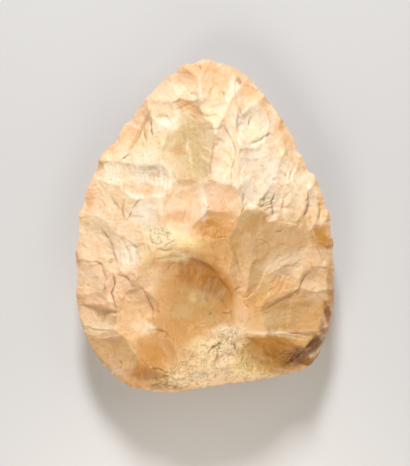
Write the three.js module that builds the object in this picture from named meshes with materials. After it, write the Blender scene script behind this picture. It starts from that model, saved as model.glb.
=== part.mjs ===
// A flint hand axe: one broad, heart-shaped blade knapped all round from a single nodule, with a
// rounded tip, a sinuous edge and a thick butt that keeps some of the nodule's chalky skin.
//
// Millimetres. +Y runs from the butt to the tip, +X across the blade and +Z up. The stone lies on
// its back face, with its origin under the middle of its bounding box.
//
// The stone is made the way the real one was. Each face starts as a dome over the outline, and each
// strike takes one flake off it: the scar is a shallow bowl cut into the surface as it stood then.

import * as THREE from 'three';

// ---- driving dimensions ----
const LENGTH = 150;          // butt to tip
const FRONT_RISE = 21;       // unflaked front dome above the plane of the edge
const BACK_RISE = 18.5;      // unflaked back dome below it
const FRONT_POWER = 2.2;     // profile of a dome round the thin edge: 2 is a lens
const BACK_POWER = 2.6;      // and more is flatter on top
const BUTT_POWER = 8.0;      // added to both at the butt, which makes that end blunt
const OUTER_FALL = 2.4;      // how steeply they fall past the outline, in rises per radius
const EDGE_WAVE = 1.1;       // how far the edge wanders out of its plane
const EDGE_RELIEF = 0.6;     // share of its depth that a scar loses at the very edge
const RIDGE_ROUNDING = 0.25; // wear on the ridges between scars
const REST_DEPTH = 0.5;      // stone missing under the back, where it lies flat
const CELLS = 48;            // grid cells across each face

// Middle of the outline's polar coordinates, and the outline as knots of a smooth closed curve.
// They are drawn at a length of about 150, and the finished stone is scaled to LENGTH.
const CENTRE = [0, -12];
const OUTLINE = [
  [60.2, -16], [58.1, 6.3], [48.4, 31.2], [32.1, 56.4],                 // right side
  [20.6, 69.9], [10.4, 75.3], [-9.3, 76.2], [-17.2, 71.0],              // tip
  [-26.6, 59.6], [-33.2, 52.6], [-46.2, 34.4], [-55.0, 15.4],           // upper left side
  [-58.1, -20], [-57.1, -37], [-48.1, -58.9], [-33.8, -72.3],           // lower left side
  [-20, -75.2], [6, -72.4], [36, -67.6], [49.4, -62.9], [56.8, -48.8],  // butt
];

// Front scars in the order of striking: where the blow fell, where the flake ran out, its width,
// its depth, and how much it widens on the way.
const FRONT_STRIKES = [
  // broad thinning flakes
  { from: [64, -6], to: [10, -10], width: 46, depth: 1.9, fan: 0.15 },
  { from: [-20, -72], to: [-18, -2], width: 36, depth: 1.8, fan: 0.15 },
  { from: [-60, 4], to: [-14, 8], width: 30, depth: 1.8, fan: 0.15 },
  { from: [-48, 36], to: [-10, 42], width: 30, depth: 2.3, fan: 0.15 },
  { from: [50, 36], to: [14, 20], width: 34, depth: 2.1, fan: 0.15 },
  { from: [-7, 28], to: [-6, -8], width: 22, depth: 2.2, fan: 0.15 },
  // flakes down the middle from the tip
  { from: [-28, 64], to: [-4, 57], width: 14, depth: 1.4, fan: 0.15 },
  { from: [-8, 62], to: [-4, 18], width: 23, depth: 2.6, fan: 0 },
  { from: [13, 54], to: [8, 16], width: 13, depth: 2.0, fan: 0.15 },
  { from: [33, 58], to: [17, 38], width: 17, depth: 2.8, fan: 0.15 },
  // left shoulder, and the wide bowl in the middle of the butt end
  { from: [-56, 24], to: [-11, 21], width: 15, depth: 1.9, fan: 0.1 },
  { from: [-42, 31], to: [-22, 60], width: 11, depth: 2.4, fan: 0 },
  { from: [-14, -66], to: [-5, -12], width: 47, depth: 3.0, fan: 0 },
  // tip
  { from: [-14, 71], to: [-2, 60], width: 13, depth: 1.8, fan: 0.15 },
  { from: [5, 75], to: [6, 56], width: 14, depth: 1.3, fan: 0.15 },
  { from: [24, 67.5], to: [16, 53], width: 12, depth: 1.8, fan: 0.15 },
  // right edge and middle
  { from: [42, 36], to: [33, 11], width: 10, depth: 1.2, fan: 0.15 },
  { from: [45, 22], to: [40.5, 1], width: 8, depth: 1.3, fan: 0.15 },
  { from: [60, -26], to: [44, -24], width: 13, depth: 2.0, fan: 0.15 },
  { from: [2, 21], to: [16, 3], width: 14, depth: 1.6, fan: 0.15 },
  { from: [16, 3], to: [-6, 1], width: 11, depth: 1.1, fan: -0.2 },
  // short flakes up the left side
  { from: [-58, 16], to: [-37, 10], width: 18, depth: 1.4, fan: 0.15 },
  { from: [-52, -14], to: [-26, -12], width: 20, depth: 1.9, fan: 0.15 },
  { from: [-61, -4], to: [-38.5, -9], width: 23, depth: 2.4, fan: 0.15 },
  { from: [-44, -38], to: [-32, -20], width: 13, depth: 2.0, fan: 0.15 },
  { from: [-62, -22], to: [-44, -22.5], width: 16, depth: 2.4, fan: 0.15 },
  { from: [-34, -50], to: [-28, -26], width: 17, depth: 3.0, fan: -0.1 },
  { from: [-59, -42], to: [-36.5, -41], width: 13, depth: 2.2, fan: 0.1 },
  // left heel
  { from: [-17, -68], to: [-22, -45], width: 15, depth: 2.0, fan: 0.15 },
  { from: [-54, -59], to: [-28, -55], width: 18, depth: 1.3, fan: 0.1 },
  { from: [-32, -79], to: [-23, -63], width: 18, depth: 2.2, fan: 0.15 },
  // lower right corner
  { from: [60, -42], to: [24, -38], width: 20, depth: 1.9, fan: 0.15 },
  { from: [48, -61.5], to: [18, -52.5], width: 16, depth: 2.7, fan: -0.05 },
];

// The back is plainer: big flakes struck inwards from all round the edge.
const BACK_STRIKES = 13;
const BACK_ORDER = 5;        // each one falls this many places round from the last
const BACK_REACH = 0.6;      // least length, as a share of the way to the middle
const BACK_WIDTH = 0.62;     // width as a share of the length
const BACK_DEPTH = 1.9;

// Small flakes that trim the edge of each face.
const TRIM = { count: 64, length: 6.5, width: 5.5, depth: 0.65 };

// ---- outline ----
const knots = OUTLINE.map(([x, y]) => {
  const dx = x - CENTRE[0];
  const dy = y - CENTRE[1];
  return { angle: Math.atan2(dy, dx), radius: Math.hypot(dx, dy) };
}).sort((a, b) => a.angle - b.angle);

// Knot k of the endless curve: its angle grows by a full turn with each round.
function knot(k) {
  const turns = Math.floor(k / knots.length);
  const { angle, radius } = knots[k - turns * knots.length];
  return { angle: angle + 2 * Math.PI * turns, radius };
}

function knotSlope(k) {
  const [a, b, c] = [knot(k - 1), knot(k), knot(k + 1)];
  const before = (b.radius - a.radius) / (b.angle - a.angle);
  const after = (c.radius - b.radius) / (c.angle - b.angle);
  const share = (b.angle - a.angle) / (c.angle - a.angle);
  return before * (1 - share) + after * share;
}

// Distance from the middle to the outline at an angle, by a cubic between two knots.
function outlineRadius(angle) {
  let k = knots.length - 1;
  while (k >= 0 && knots[k].angle > angle) k -= 1;
  const [a, b] = [knot(k), knot(k + 1)];
  const span = b.angle - a.angle;
  const u = (angle - a.angle) / span;
  const ease = u * u * (3 - 2 * u);
  const bend = u * (1 - u) * span;
  return a.radius * (1 - ease) + b.radius * ease
    + bend * (1 - u) * knotSlope(k) - bend * u * knotSlope(k + 1);
}

// Distance from the middle as a share of the way to the outline.
function outlineShare(x, y) {
  const angle = Math.atan2(y - CENTRE[1], x - CENTRE[0]);
  return Math.hypot(x - CENTRE[0], y - CENTRE[1]) / outlineRadius(angle);
}

// ---- surfaces ----
// Height of an unflaked face: a lens round most of the edge, and much blunter at the butt. Past the
// outline it falls away evenly, so that a scar that starts there has a rim to be laid through.
function dome(x, y, { rise, power }) {
  const angle = Math.atan2(y - CENTRE[1], x - CENTRE[0]);
  const share = outlineShare(x, y);
  if (share > 1) return -OUTER_FALL * rise * (share - 1);
  const buttness = (0.5 - 0.5 * Math.sin(angle)) ** 4;
  return rise * (1 - share ** (power + BUTT_POWER * buttness));
}

// The plane of the edge, gently twisted, as it is on anything knapped from both sides.
function edgePlane(x, y) {
  const angle = Math.atan2(y - CENTRE[1], x - CENTRE[0]);
  const share = outlineShare(x, y);
  return EDGE_WAVE * share ** 3 * (Math.sin(2 * angle + 0.7) + 0.4 * Math.sin(5 * angle));
}

// A slow sideways drift that keeps the scars' outlines from being true ellipses.
function drift(x, y) {
  return [
    1.1 * Math.sin(0.23 * y + 0.9 + 0.6 * Math.sin(0.11 * x)),
    1.0 * Math.sin(0.21 * x + 0.4 + 0.7 * Math.sin(0.13 * y)),
  ];
}

// 0 below low, 1 above high, and an eased curve between.
function smoothstep(low, high, value) {
  const t = Math.min(Math.max((value - low) / (high - low), 0), 1);
  return t * t * (3 - 2 * t);
}

// An even but irregular sequence of numbers from 0 to 1.
function vary(index, series) {
  const value = index * 0.6180339887 + series * 0.7548776662 + 0.37 * series * series;
  return value - Math.floor(value);
}

// Smaller of two heights, with the ridge between them rounded over a width.
function wornMinimum(a, b, width) {
  const blend = Math.min(Math.max(0.5 + 0.5 * (a - b) / width, 0), 1);
  return a * (1 - blend) + b * blend - 0.5 * width * blend * (1 - blend);
}

function faceHeight(face, x, y) {
  return face.scars.reduce(
    (height, scar) => wornMinimum(height, scar.height(x, y), scar.rounding), dome(x, y, face));
}

// Takes one flake off a face. A plane is laid through the scar's rim on the surface as it stands,
// and the scar is a bowl hung from it: deepest in the middle, nothing at the rim, rising beyond.
function strike(face, { from, to, width, depth, fan }) {
  const length = Math.hypot(to[0] - from[0], to[1] - from[1]);
  const along = [(to[0] - from[0]) / length, (to[1] - from[1]) / length];
  const middle = [(from[0] + to[0]) / 2, (from[1] + to[1]) / 2];
  const rimPoints = 24;
  let [level, slope, tilt, slopeSum, tiltSum] = [0, 0, 0, 0, 0];
  for (let i = 0; i < rimPoints; i += 1) {
    const turn = (i + 0.5) * 2 * Math.PI / rimPoints;
    const s = Math.cos(turn) * length / 2;
    const t = Math.sin(turn) * (1 + fan * Math.cos(turn)) * width / 2;
    const height = faceHeight(face,
      middle[0] + s * along[0] - t * along[1], middle[1] + s * along[1] + t * along[0]);
    level += height / rimPoints;
    slope += height * s;
    tilt += height * t;
    slopeSum += s * s;
    tiltSum += t * t;
  }
  slope /= slopeSum;
  tilt /= tiltSum;
  const sway = Math.min(1, width / 14);
  face.scars.push({
    rounding: RIDGE_ROUNDING * Math.min(1, width / 10),
    height(x, y) {
      const [sideways, lengthways] = drift(x, y);
      const dx = x - middle[0];
      const dy = y - middle[1];
      const mx = dx + sway * sideways;
      const my = dy + sway * lengthways;
      const u = (mx * along[0] + my * along[1]) / (length / 2);
      const flare = Math.min(Math.max(1 + fan * u, 0.3), 3);
      const v = (my * along[0] - mx * along[1]) / (width / 2) / flare;
      const reach = u * u + v * v;
      const bowl = depth * (Math.min(reach, 4) - 1) + 4 * depth * Math.max(reach - 4, 0)
        + 0.5 * Math.max(reach - 1, 0);
      const kept = 1 - EDGE_RELIEF * smoothstep(0.75, 1.02, outlineShare(x, y));
      return level + slope * (dx * along[0] + dy * along[1])
        + tilt * (dy * along[0] - dx * along[1]) + (bowl < 0 ? kept * bowl : bowl);
    },
  });
}

// A point at an angle and a distance inwards from the outline.
function inwards(angle, distance) {
  const radius = outlineRadius(angle) - distance;
  return [CENTRE[0] + radius * Math.cos(angle), CENTRE[1] + radius * Math.sin(angle)];
}

function wrapAngle(angle) {
  return Math.atan2(Math.sin(angle), Math.cos(angle));
}

function trimEdge(face, series) {
  for (let i = 0; i < TRIM.count; i += 1) {
    const place = (i + 0.15 + 0.7 * vary(i, series)) / TRIM.count;
    const angle = wrapAngle(2 * Math.PI * place);
    const length = TRIM.length * (0.6 + 0.8 * vary(i, series + 1));
    const skew = 0.12 * (vary(i, series + 4) - 0.5);
    strike(face, {
      from: inwards(angle, -0.25 * length),
      to: inwards(wrapAngle(angle + skew), 0.75 * length),
      width: TRIM.width * (0.65 + 0.7 * vary(i, series + 2)),
      depth: TRIM.depth * (0.5 + vary(i, series + 3)),
      fan: 0.15,
    });
  }
}

function makeFront() {
  const face = { rise: FRONT_RISE, power: FRONT_POWER, scars: [] };
  for (const blow of FRONT_STRIKES) strike(face, blow);
  trimEdge(face, 1);
  return face;
}

function makeBack() {
  const face = { rise: BACK_RISE, power: BACK_POWER, scars: [] };
  for (let i = 0; i < BACK_STRIKES; i += 1) {
    const place = (i * BACK_ORDER) % BACK_STRIKES / BACK_STRIKES;
    const angle = wrapAngle(2 * Math.PI * place + 0.3 * vary(i, 2));
    const length = outlineRadius(angle) * (BACK_REACH + 0.25 * vary(i, 3));
    strike(face, {
      from: inwards(angle, -3), to: inwards(angle, length),
      width: BACK_WIDTH * length, depth: BACK_DEPTH, fan: 0.15,
    });
  }
  trimEdge(face, 7);
  return face;
}

const front = makeFront();
const back = makeBack();

function frontHeight(x, y) {
  return edgePlane(x, y) + faceHeight(front, x, y);
}

function backHeight(x, y) {
  return edgePlane(x, y) - faceHeight(back, x, y);
}

// The edge is where the faces meet: walk outwards until the stone has no thickness left.
function edgeRadius(angle) {
  const thickness = (radius) => {
    const x = CENTRE[0] + radius * Math.cos(angle);
    const y = CENTRE[1] + radius * Math.sin(angle);
    return frontHeight(x, y) - backHeight(x, y);
  };
  let inner = 0.8 * outlineRadius(angle);
  while (thickness(inner + 0.5) > 0) inner += 0.5;
  let outer = inner + 0.5;
  for (let i = 0; i < 20; i += 1) {
    const middle = (inner + outer) / 2;
    if (thickness(middle) > 0) inner = middle;
    else outer = middle;
  }
  return inner;
}

// ---- mesh ----
// Square to disc: rings of the square become rings round the middle, evenly spaced.
function squareToDisc(a, b) {
  if (a === 0 && b === 0) return [0, 0];
  const quarter = Math.PI / 4;
  if (Math.abs(a) > Math.abs(b)) return [a, quarter * b / a];
  return [b, 2 * quarter - quarter * a / b];
}

function gridPoint(i, j) {
  let [share, angle] = squareToDisc(2 * i / CELLS - 1, 2 * j / CELLS - 1);
  if (share < 0) angle += Math.PI;
  share = Math.abs(share);
  angle = wrapAngle(angle);
  const radius = share * edgeRadius(angle);
  return [CENTRE[0] + radius * Math.cos(angle), CENTRE[1] + radius * Math.sin(angle)];
}

function makeGeometry() {
  const places = [];
  const frontIndex = [];
  const backIndex = [];
  const onRing = (i, j) => i === 0 || j === 0 || i === CELLS || j === CELLS;
  for (let j = 0; j <= CELLS; j += 1) {
    for (let i = 0; i <= CELLS; i += 1) {
      const [x, y] = gridPoint(i, j);
      const [top, bottom] = [frontHeight(x, y), backHeight(x, y)];
      frontIndex.push(places.length);
      if (onRing(i, j)) {
        backIndex.push(places.length);
        places.push([x, y, (top + bottom) / 2]);
      } else {
        backIndex.push(places.length + 1);
        places.push([x, y, top], [x, y, bottom]);
      }
    }
  }
  const triangles = [];
  const addFace = (index, upwards) => {
    for (let j = 0; j < CELLS; j += 1) {
      for (let i = 0; i < CELLS; i += 1) {
        const row = CELLS + 1;
        const corner = j * row + i;
        const [a, b] = [index[corner], index[corner + 1]];
        const [c, d] = [index[corner + row + 1], index[corner + row]];
        // split each cell along its flatter diagonal, which follows the ridges
        const acrossAC = Math.abs(places[a][2] - places[c][2]);
        const acrossBD = Math.abs(places[b][2] - places[d][2]);
        const pair = acrossAC < acrossBD ? [[a, b, c], [a, c, d]] : [[a, b, d], [b, c, d]];
        for (const [p, q, r] of pair) triangles.push(...(upwards ? [p, q, r] : [p, r, q]));
      }
    }
  };
  addFace(frontIndex, true);
  addFace(backIndex, false);

  // lie it flat, scale it to LENGTH and put the origin under the middle of its box
  const lowest = Math.min(...places.map((place) => place[2])) + REST_DEPTH;
  for (const place of places) place[2] = Math.max(place[2], lowest);
  const span = [0, 1].map((axis) => {
    const values = places.map((place) => place[axis]);
    return [Math.min(...values), Math.max(...values)];
  });
  const scale = LENGTH / (span[1][1] - span[1][0]);
  const positions = places.flatMap(([x, y, z]) => [
    scale * (x - (span[0][0] + span[0][1]) / 2),
    scale * (y - (span[1][0] + span[1][1]) / 2),
    scale * (z - lowest),
  ]);
  const geometry = new THREE.BufferGeometry();
  geometry.setAttribute('position', new THREE.Float32BufferAttribute(positions, 3));
  geometry.setIndex(triangles);
  geometry.computeVertexNormals();
  return geometry;
}

const flint = new THREE.MeshStandardMaterial({ color: 0xe0bd8c, roughness: 0.5, metalness: 0 });
const handAxe = new THREE.Mesh(makeGeometry(), flint);
handAxe.name = 'hand_axe';

const part = new THREE.Group();
part.add(handAxe);

export default part;
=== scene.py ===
# %% [markdown]
# # A flint hand axe
# A hand axe is one nodule of flint, knapped on both faces until a sharp edge runs all round it.
# This one is broad and heart-shaped, with a rounded tip. Its thick butt keeps some of the nodule's
# chalky skin, the cortex. Ages in the ground have given the flint a patina from cream to ochre.
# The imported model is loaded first. It fixes where the stone lies and how big it is.

import bpy
import numpy as np
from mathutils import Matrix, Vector


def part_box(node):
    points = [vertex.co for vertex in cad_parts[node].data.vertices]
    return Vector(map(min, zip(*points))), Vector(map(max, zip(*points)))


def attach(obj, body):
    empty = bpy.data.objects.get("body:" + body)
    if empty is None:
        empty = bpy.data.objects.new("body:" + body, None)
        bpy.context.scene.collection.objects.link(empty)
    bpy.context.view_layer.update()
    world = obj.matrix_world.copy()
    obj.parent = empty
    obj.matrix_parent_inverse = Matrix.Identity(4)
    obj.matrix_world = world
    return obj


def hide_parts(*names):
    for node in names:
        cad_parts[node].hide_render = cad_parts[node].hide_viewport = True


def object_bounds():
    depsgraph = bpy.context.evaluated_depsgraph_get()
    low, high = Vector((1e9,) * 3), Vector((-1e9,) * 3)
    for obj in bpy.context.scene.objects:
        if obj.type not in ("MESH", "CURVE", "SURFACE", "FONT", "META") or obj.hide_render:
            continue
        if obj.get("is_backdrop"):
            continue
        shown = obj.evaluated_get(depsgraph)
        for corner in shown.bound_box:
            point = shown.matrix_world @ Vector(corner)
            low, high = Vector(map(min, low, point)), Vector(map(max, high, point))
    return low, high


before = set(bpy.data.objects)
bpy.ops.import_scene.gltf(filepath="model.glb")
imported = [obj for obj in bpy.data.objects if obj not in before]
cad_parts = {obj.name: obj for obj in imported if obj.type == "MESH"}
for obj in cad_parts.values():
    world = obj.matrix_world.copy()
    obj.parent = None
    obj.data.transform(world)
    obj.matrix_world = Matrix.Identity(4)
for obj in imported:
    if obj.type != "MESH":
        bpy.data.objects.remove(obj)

cad_low, cad_high = (np.array(corner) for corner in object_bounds())
node_low, node_high = (np.array(corner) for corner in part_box("hand_axe"))
LENGTH = 150.0
MM = (node_high[1] - node_low[1]) / LENGTH
print(f"the stone is {LENGTH:.0f} mm long, and a millimetre here is {MM:.6f} m")

# %% [markdown]
# ## The outline
# The stone could be sculpted, or scanned and retopologised. It is worked out here instead, the way
# that it was made: an outline, a dome over it for each face, and then one flake after another.
# The outline is a smooth closed curve in polar coordinates. It has a knot wherever the edge turns.

# %% Outline
MIDDLE = np.array([0.0, -12.0])
KNOTS = np.array([
    (60.2, -16), (58.1, 6.3), (48.4, 31.2), (32.1, 56.4),             # right side
    (20.6, 69.9), (10.4, 75.3), (-9.3, 76.2), (-17.2, 71.0),          # tip
    (-26.6, 59.6), (-33.2, 52.6), (-46.2, 34.4), (-55.0, 15.4),       # upper left side
    (-58.1, -20), (-57.1, -37), (-48.1, -58.9), (-33.8, -72.3),       # lower left side
    (-20, -75.2), (6, -72.4), (36, -67.6), (49.4, -62.9), (56.8, -48.8),  # butt
])
knot_angle = np.unwrap(np.arctan2(*(KNOTS - MIDDLE).T[::-1]))
knot_radius = np.hypot(*(KNOTS - MIDDLE).T)
knot_angle = np.concatenate([knot_angle[-2:] - 2 * np.pi, knot_angle, knot_angle[:2] + 2 * np.pi])
knot_radius = np.concatenate([knot_radius[-2:], knot_radius, knot_radius[:2]])
knot_slope = np.gradient(knot_radius, knot_angle)


def outline_radius(angle):
    """Distance from the middle to the outline: a cubic between two knots, with the slopes there."""
    turned = np.mod(angle - knot_angle[2], 2 * np.pi) + knot_angle[2]
    k = np.clip(np.searchsorted(knot_angle, turned, side="right") - 1, 0, len(knot_angle) - 2)
    span = knot_angle[k + 1] - knot_angle[k]
    u = (turned - knot_angle[k]) / span
    ease = u * u * (3 - 2 * u)
    bend = u * (1 - u) * span
    return (knot_radius[k] * (1 - ease) + knot_radius[k + 1] * ease
            + bend * (1 - u) * knot_slope[k] - bend * u * knot_slope[k + 1])


def polar(x, y):
    """Angle round the middle, and distance from it as a share of the outline's."""
    angle = np.arctan2(y - MIDDLE[1], x - MIDDLE[0])
    return angle, np.hypot(x - MIDDLE[0], y - MIDDLE[1]) / outline_radius(angle)


print("outline:", len(KNOTS), "knots, widest", round(np.ptp(KNOTS[:, 0]), 1), "mm")

# %% [markdown]
# ## Chance
# Stone is never regular. Two kinds of chance are used, and both give the same numbers each time:
# an even sequence that spaces blows round the edge, and clouds of smooth noise over the surface.

# %% Chance
GOLDEN, PLASTIC, CURL = 0.6180339887, 0.7548776662, 0.37
LATTICE = np.random.default_rng(7).uniform(-1, 1, (256, 256))


def vary(index, series):
    """Even but irregular numbers from 0 to 1: what is left over after whole numbers in steps of the
    golden ratio. Each series starts somewhere else."""
    return np.mod(index * GOLDEN + series * PLASTIC + CURL * series * series, 1.0)


def cloud(x, y, grain, seed, octaves=1):
    """Smooth noise from about -1 to 1: random numbers on a square lattice, eased between its
    corners. A seed starts somewhere else on it. Each further octave is half as large and half
    as strong."""
    total = np.zeros(np.shape(x))
    for octave in range(octaves):
        u = x / grain * 2 ** octave + 0.7 + 37 * (seed + octave)
        v = y / grain * 2 ** octave + 0.3 + 91 * (seed + octave)
        i, j = np.floor(u).astype(int), np.floor(v).astype(int)
        u, v = u - i, v - j
        u, v = u * u * (3 - 2 * u), v * v * (3 - 2 * v)
        i, next_i, j, next_j = i & 255, (i + 1) & 255, j & 255, (j + 1) & 255
        near = LATTICE[i, j] * (1 - u) + LATTICE[next_i, j] * u
        far = LATTICE[i, next_j] * (1 - u) + LATTICE[next_i, next_j] * u
        total += (near * (1 - v) + far * v) / 2 ** octave
    return total


def smoothstep(low, high, value):
    """0 below low, 1 above high, and an eased curve between."""
    t = np.clip((value - low) / (high - low), 0, 1)
    return t * t * (3 - 2 * t)


print("the clouds are drawn from a lattice of", LATTICE.size, "numbers")

# %% [markdown]
# ## Domes
# Each face starts as a dome: a lens round most of the edge, and much blunter at the butt. The edge
# is not flat either. It wanders up and down, because flakes were struck from it both ways in turn.

# %% Domes
FRONT_RISE, FRONT_POWER = 21.0, 2.2
BACK_RISE, BACK_POWER = 18.5, 2.6
BUTT_POWER = 8.0
OUTER_FALL = 2.4
EDGE_WAVE = 1.1


def towards_butt(angle):
    """1 straight towards the butt, and 0 straight towards the tip."""
    return 0.5 - 0.5 * np.sin(angle)


def dome(x, y, rise, power):
    """rise times one minus the share of the way to the outline, raised to a power that grows at
    the butt. Past the outline it falls away evenly."""
    angle, share = polar(x, y)
    inside = 1 - np.maximum(share, 1e-6) ** (power + BUTT_POWER * towards_butt(angle) ** 4)
    return rise * np.where(share > 1, -OUTER_FALL * (share - 1), inside)


def edge_plane(x, y):
    """Height of the plane that the edge wanders about: two slow waves and five small ones round
    the stone, which grow with the cube of the way out."""
    angle, share = polar(x, y)
    return EDGE_WAVE * share ** 3 * (np.sin(2 * angle + 0.7) + 0.4 * np.sin(5 * angle))


print("the domes rise", FRONT_RISE, "mm in front and", BACK_RISE, "mm behind")

# %% [markdown]
# ## Scars
# A blow takes off one flake. Flint breaks like glass, in shallow bowls that ripple like water away
# from the blow, so a scar is a plane through its own rim on the surface as it stood, with a bowl
# hung from it. The new surface is the lower of the two, and the ridges between scars are rounded
# by wear. The order of the blows matters, because a later scar cuts an earlier one.

# %% Scars
RIM = (np.arange(24) + 0.5) * 2 * np.pi / 24
WANDER, WANDER_GRAIN = 1.5, 8.0
DEEPEN = 1.6
WALL = 0.5
REACH = 1.8
EDGE_SHALLOW = 0.6
RINGS = 0.13
RIDGE_ROUNDING = 0.05


def drift(x, y):
    """Slow sideways shift that keeps a scar's outline from being a true ellipse."""
    return (1.1 * np.sin(0.23 * y + 0.9 + 0.6 * np.sin(0.11 * x)),
            1.0 * np.sin(0.21 * x + 0.4 + 0.7 * np.sin(0.13 * y)))


class Scar:
    """One flake scar. It is an oval from the blow to where the flake ran out, width across."""

    def __init__(self, face, start, end, width, depth, tint,
                 fan=0.15, lean=0.25, steep=1.0, ripple=0.0, pitch=3.0, hackle=0.09):
        start, end = np.array(start, float), np.array(end, float)
        self.start, self.middle = start, (start + end) / 2
        self.half_length, self.half_width = np.hypot(*(end - start)) / 2, width / 2
        self.along = (end - start) / (2 * self.half_length)
        self.depth, self.fan, self.lean, self.steep = DEEPEN * depth, fan, lean, steep
        self.tint, self.ripple, self.pitch, self.hackle = tint, ripple, pitch, hackle
        self.rounding = RIDGE_ROUNDING * min(1.0, width / 10)
        self.seed = 1000 + len(face.scars)
        self.radius = REACH * max(self.half_length, self.half_width) + 1
        s = np.cos(RIM) * self.half_length
        t = np.sin(RIM) * (1 + fan * np.cos(RIM)) * self.half_width
        height = face.height(self.middle[0] + s * self.along[0] - t * self.along[1],
                             self.middle[1] + s * self.along[1] + t * self.along[0])
        self.level = height.mean()
        self.slope = (height * s).sum() / (s * s).sum()
        self.tilt = (height * t).sum() / (t * t).sum()

    def near(self, x, y):
        """Which points are near enough for the scar to touch them."""
        return np.hypot(x - self.middle[0], y - self.middle[1]) < self.radius

    def height(self, x, y):
        """The plane, plus depth times reach less one, which is the bowl. Reach is the squared
        distance from the oval's middle, leaning towards the blow. Past the rim it rises as a
        wall, and near the outline the bowl is shallower."""
        dx, dy = x - self.middle[0], y - self.middle[1]
        sideways, lengthways = drift(x, y)
        sway = min(1.0, self.half_width / 7)
        wander = sway * WANDER
        mx = dx + sway * sideways + wander * cloud(x, y, WANDER_GRAIN, self.seed, 2)
        my = dy + sway * lengthways + wander * cloud(x, y, WANDER_GRAIN, self.seed + 500, 2)
        u = (mx * self.along[0] + my * self.along[1]) / self.half_length
        flare = np.clip(1 + self.fan * u, 0.3, 3)
        v = (my * self.along[0] - mx * self.along[1]) / self.half_width / flare
        reach = (u + self.lean * np.clip(1 - u * u, 0, 1) / 2) ** 2 + v * v
        bowl = (self.depth * (np.minimum(reach, 4) ** self.steep - 1)
                + 4 * self.depth * np.maximum(reach - 4, 0) + WALL * np.maximum(reach - 1, 0))
        shallow = 1 - EDGE_SHALLOW * smoothstep(0.75, 1.02, polar(x, y)[1])
        return (self.level + self.slope * (dx * self.along[0] + dy * self.along[1])
                + self.tilt * (dy * self.along[0] - dx * self.along[1])
                + np.where(bowl < 0, shallow * bowl, bowl))

    def grain(self, x, y):
        """Rings round the blow and rays out of it, as noise in polar form, and even ripples.
        Returns their relief, and the rays by themselves."""
        rx, ry = x - self.start[0], y - self.start[1]
        far = np.hypot(rx, ry)
        ray = np.arctan2(ry * self.along[0] - rx * self.along[1],
                         rx * self.along[0] + ry * self.along[1])
        growth = np.clip(0.3 + far / (2 * self.half_length), 0, 1.3)
        waver = cloud(far / 9, ray * 2.5, 1.0, self.seed)
        fade = np.clip(0.5 + 0.8 * cloud(far / 5, ray * 3, 1.0, self.seed + 1), 0, 1.3)
        ripples = fade * np.sin(2 * np.pi * (far / self.pitch + 0.6 * waver))
        rings = cloud(far / 2.2, ray * 2.0, 1.0, self.seed + 4, 2)
        rays = cloud(ray * self.half_length, far / 5, 1.0, self.seed + 2, 2)
        patchy = np.clip(0.4 + cloud(x, y, 5.0, self.seed + 3), 0, 1)
        relief = growth * (self.ripple * ripples + RINGS * rings + self.hackle * patchy * rays)
        return relief, rays


print("a scar's rim is measured at", len(RIM), "points")

# %% [markdown]
# ## Faces
# A face keeps its scars in the order in which they were struck. It can say how high it stands at any
# point. For the mesh it also says what colour it is there, where its ridges run, and how it is streaked.

# %% Faces
TINT_BLUR, TINT_SHARE = 0.35, 0.58
RIDGE_WIDTH, BURIED = 0.14, 0.5


def worn_minimum(a, b, width):
    """The lower of two heights, with the ridge between them rounded over a width."""
    share = np.clip(0.5 + 0.5 * (a - b) / width, 0, 1)
    return a * (1 - share) + b * share - 0.5 * width * share * (1 - share)


class Face:
    """One side of the stone: a dome, and the scars cut into it in order."""

    def __init__(self, rise, power, ground):
        self.rise, self.power, self.ground, self.scars = rise, power, ground, []

    def height(self, x, y):
        """The dome worn down by each scar in turn."""
        height = dome(x, y, self.rise, self.power)
        for scar in self.scars:
            near = scar.near(x, y)
            if near.any():
                cut = scar.height(x[near], y[near])
                height[near] = worn_minimum(height[near], cut, scar.rounding)
        return height

    def strike(self, *blow, **ways):
        """Adds a scar: its start, end, width, depth and tint, and any special ways it broke."""
        self.scars.append(Scar(self, *blow, **ways))

    def carve(self, x, y):
        """Height with its grain, patina colour, how close the nearest ridge is, and streaks."""
        height = dome(x, y, self.rise, self.power)
        patina = self.ground(x, y)
        ridge, streak = np.zeros(np.shape(x)), np.zeros(np.shape(x))
        blur = TINT_BLUR * cloud(x, y, 4.0, 61, 3)
        for scar in self.scars:
            near = scar.near(x, y)
            nx, ny, before = x[near], y[near], height[near]
            grain, rays = scar.grain(nx, ny)
            cut = scar.height(nx, ny) + grain
            gap = before - cut
            streak[near] += smoothstep(0.0, 0.3, gap) * (rays - streak[near])
            height[near] = worn_minimum(before, cut, scar.rounding)
            ridge[near] *= 1 - smoothstep(0.0, BURIED, gap)
            if scar.tint:
                line = 1 - smoothstep(0.0, RIDGE_WIDTH, np.abs(gap))
                ridge[near] = np.maximum(ridge[near], line)
                share = TINT_SHARE * smoothstep(-TINT_BLUR, TINT_BLUR, gap + blur[near])
                patina[near] += share[:, None] * (tint(scar.tint) - patina[near])
        return height, patina, ridge, streak


print("a ridge shows where two scars come within", RIDGE_WIDTH, "mm in height")

# %% [markdown]
# ## Patina
# Each scar took up its own stain in the ground, because the flakes came off at different angles and
# the sediment touched them differently. The tints are named here, from the whitest scars near the
# tip to the iron browns at the heel, and each blow below says which one its scar has.

# %% Tints
TINTS = {
    "white": "f7e8d2", "cream": "f2ddbf", "honey": "eed6a9", "blush": "f2d0ac",
    "pink": "f2c8a4", "rose": "e2b083", "sand": "e0b888", "olive": "c9ad7c",
    "grey tan": "cfa878", "tan": "d3a368", "ochre": "c58a3a", "deep ochre": "a5661c",
    "toffee": "c8923f", "brown": "84501f", "umber": "4e2c14", "chalk": "f4d496",
    "pale chalk": "ffedbe", "grey chalk": "d0ac72", "gold": "ba8022", "amber": "e6b66a",
}


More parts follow.
